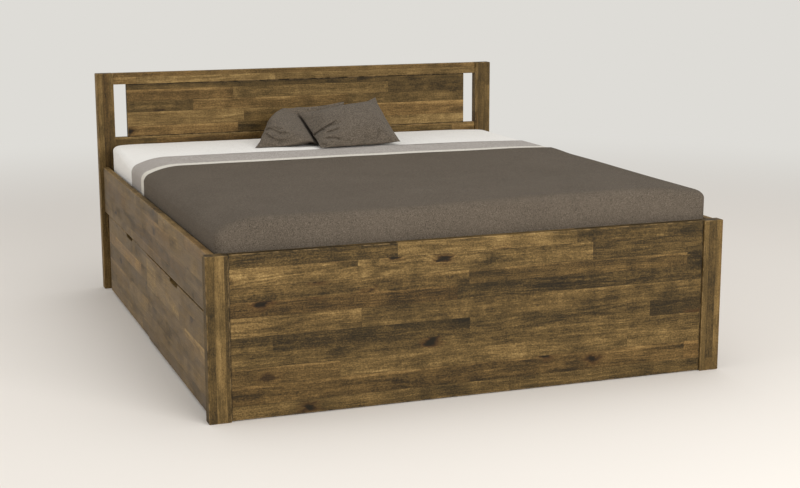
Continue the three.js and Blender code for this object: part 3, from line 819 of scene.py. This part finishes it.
def make_fitted_sheet():
    sheet = drape_mesh("fitted_sheet", grow=-0.0014, hem=HEM_Z - 0.012, height=MATTRESS_HIGH.z - 0.0022)
    thicken(sheet, SHEET_THICKNESS)
    material = cloth("white_cotton", srgb(240, 237, 231), srgb(229, 225, 218), 0.0016, 0.00015,
                     fleck=800.0)
    finish_piece(sheet, material, "white_sheet")


def make_blanket():
    blanket = drape_mesh("blanket_band", grow=0.0002, hem=HEM_Z, height=MATTRESS_HIGH.z - 0.0006,
                         cut_low=COVER_EDGE_Y - TUCKED_UNDER, cut_high=BAND_EDGE_Y)
    thicken(blanket, BLANKET_THICKNESS)
    finish_piece(blanket, checked_wool(), "checked_wool", "plaid_blanket")


def checked_wool():
    """Light grey wool with a fine check, and a cream border beside the bedspread."""
    f = Finish("checked_wool")
    place = f.place()
    x, y, z = f.split(place)
    turns = math.tau / CHECK_PITCH
    check = f.math("MAXIMUM", f.math("SINE", f.mul(y, turns)), f.math("SINE", f.mul(f.add(x, z), turns)))
    flecks = f.noise(place, scale=230.0, roughness=0.75)
    tufts = f.noise(place, scale=110.0, detail=2.0, roughness=0.6)
    slow = f.noise(place, scale=11.0, detail=2.0)
    fleck_share = f.smooth(flecks, 0.25, 0.75)
    share = f.total(0.0, (f.smooth(check, -0.6, 0.9), 0.22), (fleck_share, 0.68))
    share = f.vary(share, (tufts, 0.8), (slow, 0.25))
    grey = f.mix(share, srgb(114, 106, 99), srgb(186, 178, 169))
    border_end = COVER_EDGE_Y + BORDER_WIDTH
    border = f.smooth(f.vary(y, (tufts, 0.016)), border_end - 0.004, border_end, 1.0, 0.0)
    cream = f.mix(fleck_share, srgb(184, 177, 164), srgb(222, 216, 203))
    colour = f.mix(border, grey, cream)
    f.bump(f.total(flecks, (check, 0.3)), 0.0009, 0.8)
    return f.surface(colour, 0.93, Sheen_Weight=0.1, Specular_IOR_Level=0.1)


def make_bedspread():
    cover = drape_mesh("taupe_bedspread", grow=0.0030, hem=HEM_Z, height=MATTRESS_HIGH.z + 0.0020,
                       cut_high=COVER_EDGE_Y)
    thicken(cover, COVER_THICKNESS)
    material = cloth("taupe_weave", srgb(115, 104, 91), srgb(64, 57, 48), 0.0032, 0.0010, fleck=400.0,
                     grit=0.95)
    finish_piece(cover, material, "taupe_weave", "bedspread")


# Scatter cushions. A place on a cushion's face is given from -1 to 1, across it and up it

CUSHION_SIDE = 0.370
CUSHION_THICKNESS = 0.124
CUSHION_FULLNESS = 0.66
CLOTH_STEPS = 64
DRAWN_IN = (0.012, 0.012, 0.012, 0.012)
NOT_DRAWN_IN = (0.0, 0.0, 0.0, 0.0)
CUT_SIDE = 0.392
CUT_THICKNESS = 0.030
SEAM_SWAY = 0.0022
SEAM_WAVES = 14.0
SIMULATION_FRAMES = 20
MOST_MOVED = 0.012
KEPT_OF_FILLING = (0.25, 0.25, 0.5)
FRONT_DRAWN_IN = (0.002, 0.004, -0.003, 0.034)
FRONT_DROOP = 0.050
FRONT_SAG = 0.016
REAR_THINNING = 0.32
EAR_REACH = 0.75
EAR_PULL = (0.004, 0.024)
BEND_LINE = ((0.10, 1.0), (-0.93, -1.0))
BEND_RADIUS = 0.026
BEND_ANGLE = math.radians(62)
SQUEEZE = 0.7
REST_SOFTNESS = 0.010
SUNK = 0.0004
PRESSED_GAP = 0.010
PRESS_SOFTNESS = 0.044
RIM_SLOPE = 0.50


class CushionGrid:
    """Places on a cushion's two faces, the face of each (1 for the upper one, -1 for the
    lower), and the quads that join them. The faces share their rim."""

    def __init__(self, steps):
        self.index = np.zeros((2, steps + 1, steps + 1), dtype=int)
        places = []
        faces = []
        self.quads = []
        for layer, face in enumerate((1, -1)):
            for i, j in itertools.product(range(steps + 1), repeat=2):
                if face < 0 and {i, j} & {0, steps}:
                    self.index[layer, i, j] = self.index[0, i, j]
                    continue
                self.index[layer, i, j] = len(places)
                places.append((2 * i / steps - 1, 2 * j / steps - 1))
                faces.append(face)
            index = self.index[layer].tolist()
            for i, j in itertools.product(range(steps), repeat=2):
                corners = [index[i][j], index[i + 1][j], index[i + 1][j + 1], index[i][j + 1]]
                self.quads.append(corners if face > 0 else corners[::-1])
        self.places = np.array(places)
        self.face = np.array(faces)


CLOTH_GRID = CushionGrid(CLOTH_STEPS)
FINE_GRID = CushionGrid(2 * CLOTH_STEPS)
U, V = FINE_GRID.places.T


def on_fine_grid(moved):
    """What is given for the cloth's grid, for the fine grid with twice its steps."""
    layers = moved[CLOTH_GRID.index]
    for _ in range(2):
        steps = layers.shape[1]
        finer = np.empty((2, 2 * steps - 1) + layers.shape[2:])
        finer[:, ::2] = layers
        finer[:, 1::2] = (layers[:, 1:] + layers[:, :-1]) / 2
        layers = finer.swapaxes(1, 2)
    made = np.empty((len(FINE_GRID.places), 3))
    made[FINE_GRID.index] = layers
    return made


def fullness(u, v):
    """How thick a cushion is at a place, as a share of its middle."""
    return np.maximum(0, (1 - u * u) * (1 - v * v)) ** CUSHION_FULLNESS


def plain_cushion(grid, drawn_in=DRAWN_IN, side=CUSHION_SIDE, thickness=CUSHION_THICKNESS):
    """A cushion's points without wrinkles. Its left, right, lower and upper edge are drawn in
    between the corners."""
    u, v = grid.places.T
    left, right, lower, upper = drawn_in
    x = u * (side / 2 - np.where(u < 0, left, right) * (1 - v * v) * u * u)
    y = v * (side / 2 - np.where(v < 0, lower, upper) * (1 - u * u) * v * v)
    return np.stack((x, y, grid.face * fullness(u, v) * thickness / 2), axis=1)


def mesh_piece(name, points, faces):
    mesh = bpy.data.meshes.new(name)
    mesh.from_pydata([tuple(point) for point in points], [], faces)
    mesh.update()
    return add_object(name, mesh)


def simulate_cloth(piece):
    """Fills the cover with air, as a stuffing would, so that the cloth wrinkles at the rim."""
    filling = piece.modifiers.new("filling", "CLOTH")
    settings = filling.settings
    settings.quality = 6
    settings.mass = 0.25
    settings.tension_stiffness = 25
    settings.compression_stiffness = 25
    settings.shear_stiffness = 8
    settings.bending_stiffness = 0.35
    settings.use_pressure = True
    settings.uniform_pressure_force = 4.5
    settings.air_damping = 3.0
    settings.effector_weights.gravity = 0.0
    filling.collision_settings.use_collision = False
    filling.point_cache.frame_end = SIMULATION_FRAMES
    for step in range(1, SIMULATION_FRAMES + 1):
        scene.frame_set(step)
    apply_modifiers(piece)
    scene.frame_set(1)


def filled_cushion(drawn_in, seed):
    """A cushion's points, with the wrinkles that its filling gives it."""
    plain = plain_cushion(FINE_GRID, drawn_in)
    cut = plain_cushion(CLOTH_GRID, NOT_DRAWN_IN, CUT_SIDE, CUT_THICKNESS)
    shift = Vector((seed, 0, 0))
    sway = np.array([noise.noise_vector(Vector(point) * SEAM_WAVES + shift) for point in cut])
    piece = mesh_piece("cushion_filling", cut + sway * SEAM_SWAY, CLOTH_GRID.quads)
    simulate_cloth(piece)
    filled = np.array([vert.co for vert in piece.data.vertices])
    bpy.data.objects.remove(piece)
    filled -= (filled.max(axis=0) + filled.min(axis=0)) / 2
    filled[:, :2] *= CUSHION_SIDE / np.ptp(filled[:, :2], axis=0).mean()
    filled[:, 2] *= CUSHION_THICKNESS / np.ptp(filled[:, 2])
    moved = filled - plain_cushion(CLOTH_GRID, drawn_in)
    return plain + on_fine_grid(np.clip(moved, -MOST_MOVED, MOST_MOVED)) * KEPT_OF_FILLING


@dataclass
class Fold:
    """A fold in a cushion's upper face, along a line of straight pieces. The cloth on the
    left of the line hangs over the valley."""
    corners: tuple
    width: float
    depth: float
    overhang: float
    from_rim: bool = False

    def distance(self):
        """How far each place lies to the left of the line, the share of the line before it,
        and which way left is there."""
        places = FINE_GRID.places
        nearest = np.full(len(places), np.inf)
        share = np.zeros(len(places))
        left = np.zeros((len(places), 2))
        pieces = list(itertools.pairwise(self.corners))
        lengths = [math.dist(*piece) for piece in pieces]
        walked = 0.0
        for (start, end), length in zip(pieces, lengths):
            line = np.subtract(end, start)
            normal = np.array((-line[1], line[0])) / length
            along = np.clip((places - start) @ line / length ** 2, 0, 1)
            away = places - start - along[:, None] * line
            gap = np.linalg.norm(away, axis=1)
            gap = np.where(away @ normal < 0, -gap, gap)
            closer = np.abs(gap) < np.abs(nearest)
            nearest = np.where(closer, gap, nearest)
            share = np.where(closer, (walked + along * length) / sum(lengths), share)
            left = np.where(closer[:, None], normal, left)
            walked += length
        return nearest, share, left

    def press(self, points):
        gap, share, left = self.distance()
        taper = 1 - ease(share, 0.70, 1.0)
        if not self.from_rim:
            taper = taper * ease(share, 0.0, 0.2)
        across = gap / self.width
        valley = np.exp(-(across * np.where(across > 0, 1.5, 0.7)) ** 2)
        valley = np.where(FINE_GRID.face > 0, taper * valley, 0.0)
        points[:, :2] += (self.overhang * valley)[:, None] * left
        points[:, 2] -= self.depth * valley


@dataclass
class Push:
    """A shift of a cushion along one axis. It grows to the most between two places across the
    cushion and, where given, two places up it."""
    axis: str
    most: float
    across: tuple
    up: tuple = None

    def press(self, points):
        share = ease(U, *self.across)
        if self.up:
            share = share * ease(V, *self.up)
        points[:, AXES[self.axis]] += self.most * share


FRONT_FOLDS = (
    Fold(((-1.0, -0.30), (-0.74, -0.36), (-0.50, -0.30), (-0.34, -0.18)), 0.054, 0.015, 0.017, True),
    Fold(((-0.62, -0.42), (-0.46, -0.38), (-0.30, -0.30)), 0.040, 0.006, 0.008),
    Fold(((-0.78, -0.55), (-0.58, -0.57), (-0.34, -0.53)), 0.042, 0.007, 0.009),
    Fold(((-0.88, -0.72), (-0.66, -0.78), (-0.42, -0.90)), 0.042, 0.007, 0.009),
    Fold(((-0.97, -0.82), (-0.84, -0.99)), 0.036, 0.006, 0.006),
    Fold(((0.42, -0.94), (0.50, -0.80), (0.54, -0.62)), 0.040, 0.006, 0.008),
    Fold(((0.12, -0.96), (0.20, -0.76)), 0.036, 0.004, 0.005),
    Fold(((0.80, 0.72), (0.62, 0.98)), 0.045, 0.005, 0.004),
)
REAR_FOLDS = (
    Fold(((-0.84, -0.32), (-0.62, -0.56), (-0.44, -0.71), (-0.14, -0.76)), 0.050, 0.009, 0.011),
    Fold(((-0.88, -0.50), (-0.68, -0.75), (-0.48, -0.88), (-0.14, -0.90)), 0.050, 0.009, 0.011),
    Fold(((-0.66, -0.44), (-0.48, -0.56), (-0.30, -0.60)), 0.040, 0.005, 0.006),
    Fold(((-0.92, -0.84), (-0.71, -0.93), (-0.46, -0.98)), 0.042, 0.006, 0.006),
    Fold(((-0.58, -0.14), (-0.74, -0.38), (-0.84, -0.64)), 0.042, 0.006, 0.006),
)
FRONT_PUSHES = (
    Push("x", -0.008, across=(0.0, 1.0)),
    Push("y", 0.003, across=(0.2, 1.0), up=(0.2, 1.0)),
)
REAR_SWELLING = Push("z", 0.017, across=(-0.5, 0.4), up=(-0.3, -1.0))
REAR_PUSHES = (
    Push("x", 0.024, across=(-0.2, 1.0), up=(-0.2, 1.0)),
    Push("y", 0.030, across=(-0.1, 0.5), up=(-0.2, -1.0)),
    Push("z", 0.010, across=(-0.1, 0.5), up=(0.3, 1.0)),
    Push("y", -0.005, across=(0.6, -0.1), up=(0.3, 1.0)),
    Push("y", 0.018, across=(0.4, 1.0), up=(0.5, 1.0)),
    Push("z", -0.014, across=(0.5, -0.2), up=(-0.4, -1.0)),
)


def bend_down(points):
    """Bends the rear cushion down beyond a line across it. The padding beneath the bend is
    squeezed."""
    start, end = np.array(BEND_LINE) * CUSHION_SIDE / 2
    along = (end - start) / np.linalg.norm(end - start)
    out = np.array((along[1], -along[0]))
    past = (points[:, :2] - start) @ out
    height = points[:, 2].copy()
    squeezed = height * (1 - SQUEEZE * ease(past, -0.03, 0.01))
    height = np.where(height < 0, squeezed, height)
    angle = np.clip(past / BEND_RADIUS, 0, BEND_ANGLE)
    straight = np.maximum(0, past - BEND_RADIUS * BEND_ANGLE)
    reach = (BEND_RADIUS + height) * np.sin(angle) + np.cos(angle) * straight
    drop = (BEND_RADIUS + height) * np.cos(angle) - BEND_RADIUS - np.sin(angle) * straight
    points[:, :2] += np.where(past > 0, reach - past, 0.0)[:, None] * out
    points[:, 2] = np.where(past > 0, drop, height)


class Rest:
    """Where a cushion lies: its middle across the bed and from the mattress's head end, in
    shares of its side, and its angles in degrees."""

    def __init__(self, across, from_head, turn, prop, lean):
        angles = (math.radians(prop), math.radians(-lean), math.radians(turn))
        self.turned = np.array(Euler(angles, "XYZ").to_matrix())
        lowest = (plain_cushion(CLOTH_GRID) @ self.turned.T)[:, 2].min()
        self.middle = np.array((across * CUSHION_SIDE, MATTRESS_HIGH.y - from_head * CUSHION_SIDE,
                                MATTRESS_HIGH.z - lowest))

    def to_bed(self, points):
        return points @ self.turned.T + self.middle

    def from_bed(self, points):
        return (points - self.middle) @ self.turned


REAR_REST = Rest(across=-0.268, from_head=0.62, turn=-17.0, prop=23.5, lean=1.0)
FRONT_REST = Rest(across=0.305, from_head=0.84, turn=-1.0, prop=26.0, lean=2.0)


def front_droop(u, v):
    """The front cushion's upper left corner hangs down over the rear cushion."""
    return FRONT_DROOP * (1 - u) / 2 * (1 + v) / 2


def front_cushion():
    points = filled_cushion(FRONT_DRAWN_IN, seed=8.7)
    for change in FRONT_FOLDS + FRONT_PUSHES:
        change.press(points)
    points[:, 2] -= FRONT_SAG * (1 - U * U) * ease(V, 0.3, 1.0)
    points[:, 2] -= front_droop(U, V)
    return FRONT_REST.to_bed(points)


def rear_cushion():
    points = filled_cushion(DRAWN_IN, seed=3.1)
    for change in REAR_FOLDS + (REAR_SWELLING,):
        change.press(points)
    points[:, 2] *= 1 - REAR_THINNING * ease(-U, -0.1, 0.9)
    for push in REAR_PUSHES:
        push.press(points)
    ear = np.maximum(0, 1 - np.hypot(U + 1, V + 1) / EAR_REACH) ** 2
    points[:, :2] -= ear[:, None] * EAR_PULL
    bend_down(points)
    return tucked_under_front(REAR_REST.to_bed(points))


def tucked_under_front(points):
    """Presses the rear cushion down where the front one lies on it."""
    half = CUSHION_SIDE / 2
    own = FRONT_REST.from_bed(points)
    u, v = np.clip(own[:, 0] / half, -1, 1), np.clip(own[:, 1] / half, -1, 1)
    outside = np.hypot(own[:, 0] - u * half, own[:, 1] - v * half)
    underside = -fullness(u, v) * CUSHION_THICKNESS / 2 - front_droop(u, v)
    ceiling = underside - PRESSED_GAP + RIM_SLOPE * outside
    over = np.maximum(0, own[:, 2] - ceiling + PRESS_SOFTNESS)
    pressed = ceiling - PRESS_SOFTNESS * np.exp(-over / PRESS_SOFTNESS)
    own[:, 2] = np.where(over > 0, pressed, own[:, 2])
    return FRONT_REST.to_bed(own)


def settled_on_bed(points):
    """Flattens what would sink below the bed's top, and lets the rest settle softly."""
    floor = np.array([top_shift(x, y) for x, y, _ in points]) + MATTRESS_HIGH.z - SUNK
    depth = points[:, 2] - floor
    near = np.minimum(depth, REST_SOFTNESS)
    soft = floor + REST_SOFTNESS * np.exp((near - REST_SOFTNESS) / REST_SOFTNESS)
    points[:, 2] = np.where(depth < REST_SOFTNESS, soft, points[:, 2])
    return points


def make_cushions():
    material = cloth("taupe_linen", srgb(122, 110, 96), srgb(63, 56, 46), 0.0024, 0.0010,
                     fleck=330.0, grit=1.5, streak=1.4, fuzz=0.05)
    for name, node, points in (
        ("scatter_cushion_left", "cushion_left", rear_cushion()),
        ("scatter_cushion_right", "cushion_right", front_cushion()),
    ):
        piece = mesh_piece(name, settled_on_bed(points), FINE_GRID.quads)
        finish_piece(piece, material, "taupe_linen", node)


# Camera, light and stage

CAMERA_PLACE = (-1.9346, -5.6175, 1.5035)
CAMERA_YAW = 0.34803
CAMERA_PITCH = -0.19503
CAMERA_ROLL = -0.00263
SENSOR_WIDTH = 36.0
LENS = 67.37


def make_camera():
    aimed = Euler((math.pi / 2 + CAMERA_PITCH, 0, -CAMERA_YAW)).to_matrix()
    turned = (aimed @ Matrix.Rotation(CAMERA_ROLL, 3, "Z")).to_4x4()
    data = bpy.data.cameras.new("camera")
    data.sensor_width = SENSOR_WIDTH
    data.lens = LENS
    camera = add_object("camera", data)
    camera.matrix_world = Matrix.Translation(CAMERA_PLACE) @ turned
    scene.camera = camera


def area_lamp(name, place, target, size, power):
    data = bpy.data.lights.new(name, "AREA")
    data.shape = "RECTANGLE"
    data.size, data.size_y = size
    data.energy = power
    lamp = add_object(name, data)
    lamp.location = place
    lamp.rotation_euler = (Vector(target) - Vector(place)).to_track_quat("-Z", "Y").to_euler()


BACKGROUND = srgb(222, 220, 215)
FLOOR_COLOUR = srgb(228, 222, 214)
FLOOR_HALF = 40.0
FADE_NEAR = 2.6
FADE_FAR = 6.5
DOME_STRENGTH = 0.66


def make_world():
    """White light from all sides, and a plain background to what the camera sees."""
    world = bpy.data.worlds.new("studio")
    scene.world = world
    world.use_nodes = True
    world.node_tree.nodes.clear()
    w = Nodes(world.node_tree)
    light = w.node("Background", {"Color": (1.0, 1.0, 1.0, 1.0), "Strength": DOME_STRENGTH})
    plain = w.node("Background", {"Color": BACKGROUND})
    mix = w.node("MixShader", {0: w.seen(), 1: light.outputs[0], 2: plain.outputs[0]})
    w.node("OutputWorld", {"Surface": mix.outputs[0]})


def make_floor():
    """A pale floor that fades into the background with its distance from the bed."""
    corners = [(x * FLOOR_HALF, y * FLOOR_HALF, 0) for x, y in ((-1, -1), (1, -1), (1, 1), (-1, 1))]
    floor = mesh_piece("studio_floor", corners, [(0, 1, 2, 3)])
    f = Finish("studio_floor")
    place = f.place()
    distance = f.node("VectorMath", {"Vector": place}, operation="LENGTH").outputs["Value"]
    fade = f.smooth(distance, FADE_NEAR, FADE_FAR)
    f.surface(FLOOR_COLOUR, 0.9, Specular_IOR_Level=0.1)
    glow = f.node("Emission", {"Color": BACKGROUND})
    mix = f.node("MixShader", {0: f.mul(fade, f.seen()), 1: f.shader.outputs[0], 2: glow.outputs[0]})
    f.put(f.tree.nodes["Material Output"].inputs["Surface"], mix.outputs[0])
    floor.data.materials.append(f.material)


def make_lamps():
    area_lamp("front_lamp", (1.2, -6.0, 2.4), target=(0.0, -0.6, 0.4), size=(4.0, 2.6), power=245.0)
    area_lamp("left_lamp", (-5.0, -0.5, 2.8), target=(0.0, 0.0, 0.4), size=(3.5, 3.0), power=52.0)
    area_lamp("top_lamp", (0.6, 0.4, 4.6), target=(0.0, 0.0, 0.3), size=(4.0, 4.0), power=42.0)


scene.view_settings.view_transform = "Standard"
make_camera()
make_world()
make_floor()
make_lamps()
dress_boards()
dress_hidden_boards()
dress_metal()
make_wheels()
make_mattress()
make_fitted_sheet()
make_blanket()
make_bedspread()
make_cushions()
